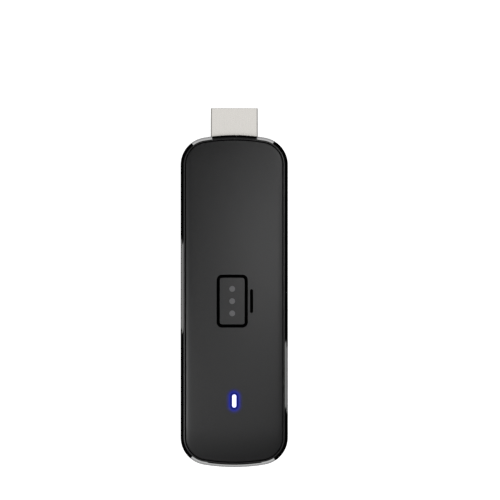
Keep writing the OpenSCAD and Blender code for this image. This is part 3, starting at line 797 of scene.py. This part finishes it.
def bottom_cover():
    """The tub: its floor inside, up the inner wall, over the rim, down the outer wall, round the
    quarter-circle edge and in to the flat base."""
    rim = SPLIT_Z - SEAM
    steps = np.radians(np.linspace(0, 90, 9))
    inner_r = BASE_R - 0.6
    # Inset of the floor's own outline: the flat caps start there
    middle = 6.0
    profile = [(middle, FLOOR_T)]
    profile += [(WALL + inner_r * (1 - math.sin(a)), FLOOR_T + inner_r * (1 - math.cos(a))) for a in steps]
    profile += [(WALL, rim), (0.16, rim), (0.07, rim - 0.03), (0.02, rim - 0.09), (0.0, rim - 0.18)]
    profile += [(BASE_R * (1 - math.sin(a)), BASE_R * (1 - math.cos(a))) for a in steps[::-1]]
    profile += [(middle, 0.0)]
    tub = make_mesh("base_shell", loft([case_ring(*p) for p in profile]))
    cut_away(tub, plug_window(), vent_cutter(), label_cutter())
    finish_piece(tub, "base_matte", "bottom_cover")


def rating_label():
    """A blank label: a thin film with round corners and a softened edge."""
    section = rounded_rect(LABEL_SIZE[0], LABEL_SIZE[1], LABEL_CORNER)
    steps = [(-0.03, label_low[2]), (0.0, label_low[2] + 0.03), (0.0, label_high[2])]
    film = make_mesh("blank_label", upright(section, 0, LABEL_Y, steps))
    finish_piece(film, "label_film", "rating_label")


# ---- Plug ----


# Latch holes: their size, and their places off the middle and back from the tip
LATCH_SIZE = 1.5, 1.2
LATCH_X = 3.2
LATCH_BACK = 4.2


def hdmi_shell():
    """The plug's sheet-metal shell: out along the section, round the rim, back along the inside.
    Two latch holes and the fine seam of the folded sheet are cut in its lower side."""
    section = plug_section()
    lip = 0.13
    outer = [(PLUG_BACK, 0.0), (PLUG_BACK + 3, 0.0), (PLUG_TIP - lip - 0.4, 0.0), (PLUG_TIP - lip, 0.0),
             (PLUG_TIP - 0.045, -0.035), (PLUG_TIP, -lip)]
    inner = [(PLUG_TIP - 0.045, -PLUG_T + 0.035), (PLUG_TIP - lip, -PLUG_T), (PLUG_BACK, -PLUG_T)]
    shell = make_mesh("plug_shell", loft(along_plug(section, outer + inner), wrap=True))
    low = PLUG_Z - PLUG_H / 2
    hole = rounded_rect(*LATCH_SIZE, 0.2)
    through = [(0, low - 1), (0, low + 1)]
    cutters = [make_mesh("latch_hole", upright(hole, x, PLUG_TIP - LATCH_BACK, through))
               for x in (-LATCH_X, LATCH_X)]
    seam = rounded_rect(0.06, PLUG_TIP - PLUG_BACK + 2, 0.01)
    shallow = [(0, low - 1), (0, low + 0.2)]
    cutters.append(make_mesh("seam", upright(seam, 0, (PLUG_TIP + PLUG_BACK) / 2, shallow)))
    cut_away(shell, *cutters)
    finish_piece(shell, "plug_nickel", "hdmi_shell")


def power_port_shell():
    """The power inlet's drawn shell: closed at the back, out along the outside, flared at the
    mouth, and in again along the inside."""
    section = rounded_rect(*POWER_SIZE, 0.7)
    mouth = power_low[0]
    back = power_high[0]
    steps = [(back, -0.15), (back - 0.15, 0.0), (mouth + 0.8, 0.0), (mouth + 0.3, 0.06),
             (mouth + 0.05, 0.17), (mouth, 0.13), (mouth + 0.04, 0.04), (mouth + 0.25, -0.14),
             (mouth + 0.8, -0.3), (back - 0.3, -0.3)]
    shell = make_mesh("inlet_shell", prism_along(section, POWER_AT, steps))
    finish_piece(shell, "tin_plate", "power_port_shell")


# ---- Generic printed mark ----


# Height of the ink's two faces above the panel
INK_UNDER = 0.002
INK_OVER = 0.014


def ink(name, section_pairs, finish, slot):
    """Ink on the panel: each part is a flat ring or plate that follows the panel's height.
    A pair is the outer edge and the inner edge, or None for a solid plate."""
    skins = []
    for outer, inner in section_pairs:
        steps = [(outer, INK_UNDER), (outer, INK_OVER)]
        if inner is not None:
            steps += [(inner, INK_OVER), (inner, INK_UNDER)]
        rings = [on_panel(edge, lift) for edge, lift in steps]
        skins.append(loft(rings, wrap=inner is not None))
    finish_piece(make_mesh(name, join_skins(*skins)), slot, finish=finish)


def moved(section, grow, x, y=0):
    """A section's points, grown and moved."""
    return section[0] + grow * section[1] + np.array([x, y])


def printed_mark():
    """A plain screen on a stand with three dots, turned to read along the case."""
    screen = rounded_rect(9.2, 15.6, 1.6)
    screen_x = -0.6
    line = 0.95
    stand = rounded_rect(0.9, 7.0, 0.44)
    stand_x = 5.1
    dot = rounded_rect(1.7, 1.7, 0.84)
    spacing = 3.6
    frame_ring = moved(screen, 0, screen_x), moved(screen, -line, screen_x)
    ink("mark_screen", [frame_ring, (moved(stand, 0, stand_x), None)], INK_BLACK, "band_gloss")
    ink("mark_dots", [(moved(dot, 0, screen_x, i * spacing), None) for i in (-1, 0, 1)], INK_GREY,
        "label_film")


# ---- Reset button ----


def reset_button():
    """The button: flange, cap with a rounded edge and a slightly domed face, and stem."""
    cap = rounded_rect(*BUTTON_SIZE, BUTTON_SIZE[1] / 2 - 0.01)
    face = button_high[0]
    flange_x = HALF_W - WALL - 0.05
    stem = rounded_rect(1.8, 0.9, 0.1)
    steps = [(flange_x - 0.7, 0.5), (flange_x - 0.66, 0.55), (flange_x - 0.05, 0.55), (flange_x, 0.5),
             (flange_x, 0.0), (face - 0.3, 0.0), (face - 0.16, -0.03), (face - 0.08, -0.10),
             (face - 0.03, -0.22), (face, -0.6)]
    body = prism_along(cap, BUTTON_AT, steps)
    rod = prism_along(stem, BUTTON_AT, [(button_low[0], 0.0), (flange_x - 0.6, 0.0)])
    button = make_mesh("button_cap", join_skins(body, rod))
    finish_piece(button, "button_black", "reset_button", body="button")


top_cover()
light_pipe()
side_band()
bottom_cover()
rating_label()
hdmi_shell()
power_port_shell()
printed_mark()
reset_button()


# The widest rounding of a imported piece's edges, in millimetres, and its share of the thinnest side
EDGE_ROUND = 0.06
EDGE_SHARE = 8


def finish_packed_pieces():
    """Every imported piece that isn't replaced takes its slot's finish and slightly rounded edges."""
    for part in frame["record"]["subparts"]:
        obj = frame["nodes"][part["node"]]
        if obj.hide_render:
            continue
        obj.data.materials.clear()
        obj.data.materials.append(FINISHES[part["material_slot"]])
        size = min(obj.dimensions) / MM
        weld = obj.modifiers.new("weld", "WELD")
        weld.merge_threshold = 0.001 * MM
        bevel = obj.modifiers.new("bevel", "BEVEL")
        bevel.width = min(EDGE_ROUND, size / EDGE_SHARE) * MM
        bevel.segments = 2
        bevel.limit_method = "ANGLE"
        bevel.angle_limit = math.radians(40)


finish_packed_pieces()

# ---- Studio ----

# The framing: the picture is 147.2 mm wide at the height of the case's upper edge
VIEW_W = 147.2
VIEW_CENTRE = (4.64, 15.05)
LENS_MM = 500
SENSOR_MM = 36


def studio_camera():
    """A long lens straight above the case."""
    data = bpy.data.cameras.new("camera")
    data.lens = LENS_MM
    data.sensor_width = SENSOR_MM
    data.clip_start, data.clip_end = 0.01, 20
    camera = bpy.data.objects.new("camera", data)
    height = LIP_Z + VIEW_W * LENS_MM / SENSOR_MM
    camera.location = (VIEW_CENTRE[0] * MM, VIEW_CENTRE[1] * MM, height * MM)
    bpy.context.collection.objects.link(camera)
    bpy.context.scene.camera = camera


# The floor's own light as the camera and dull surfaces see it, and as reflections see it, and
# the same two for how much light its paper sends back
FLOOR_GLOW = 0.9
FLOOR_MIRRORED = 0.30
PAPER_SEEN = 0.85
PAPER_MIRRORED = 0.1
# Half the floor's width in metres, and how far it lies under the case in millimetres
FLOOR_HALF = 4.0
FLOOR_DROP = 0.05


def studio_floor():
    """A pale floor with light of its own, so that it reads as plain white with a faint contact
    shadow, and that polished pieces mirror as grey. It is clear from below, so the underside can
    be looked at."""
    mesh = bpy.data.meshes.new("floor")
    corners = [(x * FLOOR_HALF, y * FLOOR_HALF, -FLOOR_DROP * MM)
               for x, y in ((-1, -1), (1, -1), (1, 1), (-1, 1))]
    mesh.from_pydata(corners, [], [(0, 1, 2, 3)])
    floor = bpy.data.objects.new("floor", mesh)
    bpy.context.collection.objects.link(floor)
    material = bpy.data.materials.new("white_floor")
    material.use_nodes = True
    tree = material.node_tree
    tree.nodes.clear()
    mirrored = add(tree, "ShaderNodeLightPath", {}).outputs["Is Glossy Ray"]
    level = add(tree, "ShaderNodeMapRange", {"Value": mirrored, "To Min": FLOOR_GLOW,
                                             "To Max": FLOOR_MIRRORED})
    glow = add(tree, "ShaderNodeEmission", {"Color": (1, 1, 1, 1), "Strength": level.outputs["Result"]})
    paper_level = add(tree, "ShaderNodeMapRange", {"Value": mirrored, "To Min": PAPER_SEEN,
                                                   "To Max": PAPER_MIRRORED})
    paper = add(tree, "ShaderNodeBsdfDiffuse", {"Color": paper_level.outputs["Result"]})
    front = add(tree, "ShaderNodeAddShader", {0: glow.outputs[0], 1: paper.outputs[0]})
    side = add(tree, "ShaderNodeNewGeometry", {}).outputs["Backfacing"]
    clear = add(tree, "ShaderNodeBsdfTransparent", {})
    both = add(tree, "ShaderNodeMixShader", {0: side, 1: front.outputs[0], 2: clear.outputs[0]})
    add(tree, "ShaderNodeOutputMaterial", {"Surface": both.outputs[0]})
    mesh.materials.append(material)
    floor.visible_shadow = False


def softbox(name, at, size, radiance, only, aim=(0, 0, 0), turn=0.0):
    """A rectangular light of a given radiance, unseen by the camera, that lights one group of
    objects. Lengths are in metres. Its power is radiance times pi times its area."""
    data = bpy.data.lights.new(name, "AREA")
    data.shape = "RECTANGLE"
    data.size, data.size_y = size
    data.energy = radiance * math.pi * size[0] * size[1]
    light = bpy.data.objects.new(name, data)
    light.location = at
    facing = (Vector(aim) - Vector(at)).to_track_quat("-Z", "Y").to_euler()
    facing.rotate_axis("Z", math.radians(turn))
    light.rotation_euler = facing
    light.visible_camera = False
    bpy.context.collection.objects.link(light)
    light.light_linking.receiver_collection = only


def lit_group(name, objects):
    """A group of objects for lights to be limited to."""
    group = bpy.data.collections.new(name)
    for obj in objects:
        group.objects.link(obj)
    return group


# Distances of the cards from the case's middle and from its side, in metres
END_DISTANCE = 0.7
SIDE_DISTANCE = 0.1
# A side card's turn in its own plane, in degrees, which slants the ends of its reflection
CARD_SLANT = 0.8
# Every card is two, bright above this elevation for the chamfer and dimmer below it for the wall
CARD_SPLIT = 19
# Radiance of a card's bright and its dim part, at the ends and at the sides
END_BRIGHT, END_DIM = 10.0, 6.4
SIDE_BRIGHT, SIDE_DIM = 3.9, 2.6
# Cards at the ends: name, azimuths from and to, and highest elevation, in degrees
END_CARDS = [
    ("top_left", -35.5, -7.2, 60),
    ("top_right", 7.2, 29.1, 60),
    ("bottom_left", 188.5, 217.6, 60),
    ("bottom_middle", 171.5, 188.5, 28),
    ("bottom_right", 149.0, 171.5, 60),
]
# Cards at the sides: name, side, and where they run from and to along Y, in millimetres
SIDE_CARDS = [("left", -1, -9.9, 17.7), ("right", 1, -34.6, -14.2)]
# Small softboxes over the cover: name, place and size in millimetres, and radiance
COVER_LIGHTS = [
    ("far_left_top", -95, 65, 150, 40, 1.0),
    ("far_left_middle", -95, 15, 150, 40, 1.0),
    ("far_left_bottom", -95, -35, 150, 40, 12.0),
    ("left_bottom", -55, -35, 150, 40, 1.6),
    ("middle_bottom", -18, -35, 150, 40, 0.9),
    ("right_top", 20, 65, 150, 40, 1.0),
    ("right_middle", 20, 15, 150, 40, 3.7),
    ("right_bottom", 20, -35, 150, 40, 1.1),
    ("far_right_top", 58, 65, 150, 40, 3.8),
    ("far_right_middle", 98, 15, 150, 40, 3.0),
]


def end_card(name, first, last, low, high, radiance, only):
    """A distant card for the gloss band to mirror, between two azimuths and two elevations in
    degrees. Azimuth is from +Y towards +X. A height is distance times the elevation's tangent."""
    a = math.radians((first + last) / 2)
    bottom, top = (END_DISTANCE * math.tan(math.radians(e)) for e in (low, high))
    at = (END_DISTANCE * math.sin(a), END_DISTANCE * math.cos(a), (bottom + top) / 2)
    width = 2 * END_DISTANCE * math.tan(math.radians(abs(last - first) / 2))
    softbox(name, at, (width, top - bottom), radiance, only, aim=(0, 0, at[2]))


def side_card(name, side, low_y, high_y, low, high, radiance, only):
    """A near card beside the case, for a stretch of the gloss band to mirror, made like an end
    card but between two places along Y in millimetres."""
    x = side * (HALF_W * MM + SIDE_DISTANCE)
    bottom, top = (SIDE_DISTANCE * math.tan(math.radians(e)) for e in (low, high))
    middle = (low_y + high_y) / 2 * MM
    height = LIP_Z * MM + (bottom + top) / 2
    softbox(name, (x, middle, height), ((high_y - low_y) * MM, top - bottom), radiance, only,
            aim=(0, middle, height), turn=CARD_SLANT)


def studio_lights():
    """Soft light from overhead and all round, small softboxes that shade the cover, and cards
    that the gloss band mirrors."""
    glossy = ("gloss_band", "mark_screen")
    shaded = ("cover_shell", "mark_dots")
    pieces = [o for o in bpy.data.objects if o.type == "MESH" and o.name not in glossy]
    band = lit_group("band_only", [bpy.data.objects["gloss_band"]])
    rest = lit_group("all_but_gloss", pieces)
    others = lit_group("all_but_cover", [o for o in rest.objects if o.name not in shaded])
    cover = lit_group("cover_only", [bpy.data.objects[name] for name in shaded])
    softbox("overhead", (0.05, 0.0, 1.5), (2.0, 2.0), 1.0, others)
    for azimuth in (0, 90, 180, 270):
        a = math.radians(azimuth)
        softbox(f"wall_{azimuth}", (1.4 * math.sin(a), 1.4 * math.cos(a), 0.8), (2.2, 1.6), 0.45, rest,
                aim=(0, 0, 0.3))
    softbox("from_below", (0, 0, -0.8), (1.6, 1.6), 1.0, rest)
    for name, x, y, z, size, radiance in COVER_LIGHTS:
        softbox(name, (x * MM, y * MM, z * MM), (size * MM, size * MM), radiance, cover)
    for name, first, last, top in END_CARDS:
        end_card(f"card_{name}_high", first, last, CARD_SPLIT, top, END_BRIGHT, band)
        end_card(f"card_{name}_low", first, last, -20, CARD_SPLIT, END_DIM, band)
    end_card("card_plug", -7.2, 7.2, 29, 60, 0.4, band)
    for name, side, low_y, high_y in SIDE_CARDS:
        side_card(f"card_{name}_high", side, low_y, high_y, CARD_SPLIT, 60, SIDE_BRIGHT, band)
        side_card(f"card_{name}_low", side, low_y, high_y, -40, CARD_SPLIT, SIDE_DIM, band)


def studio_world():
    """White behind the floor for the camera, near black for everything else."""
    world = bpy.data.worlds.new("studio")
    world.use_nodes = True
    tree = world.node_tree
    tree.nodes.clear()
    ray = add(tree, "ShaderNodeLightPath", {})
    dark = add(tree, "ShaderNodeBackground", {"Color": (0.008, 0.008, 0.008, 1)})
    white = add(tree, "ShaderNodeBackground", {"Color": (1, 1, 1, 1)})
    mix = add(tree, "ShaderNodeMixShader", {0: ray.outputs["Is Camera Ray"], 1: dark.outputs[0],
                                            2: white.outputs[0]})
    add(tree, "ShaderNodeOutputWorld", {"Surface": mix.outputs[0]})
    bpy.context.scene.world = world


studio_camera()
studio_floor()
studio_lights()
studio_world()
bpy.context.scene.view_settings.view_transform = "Standard"
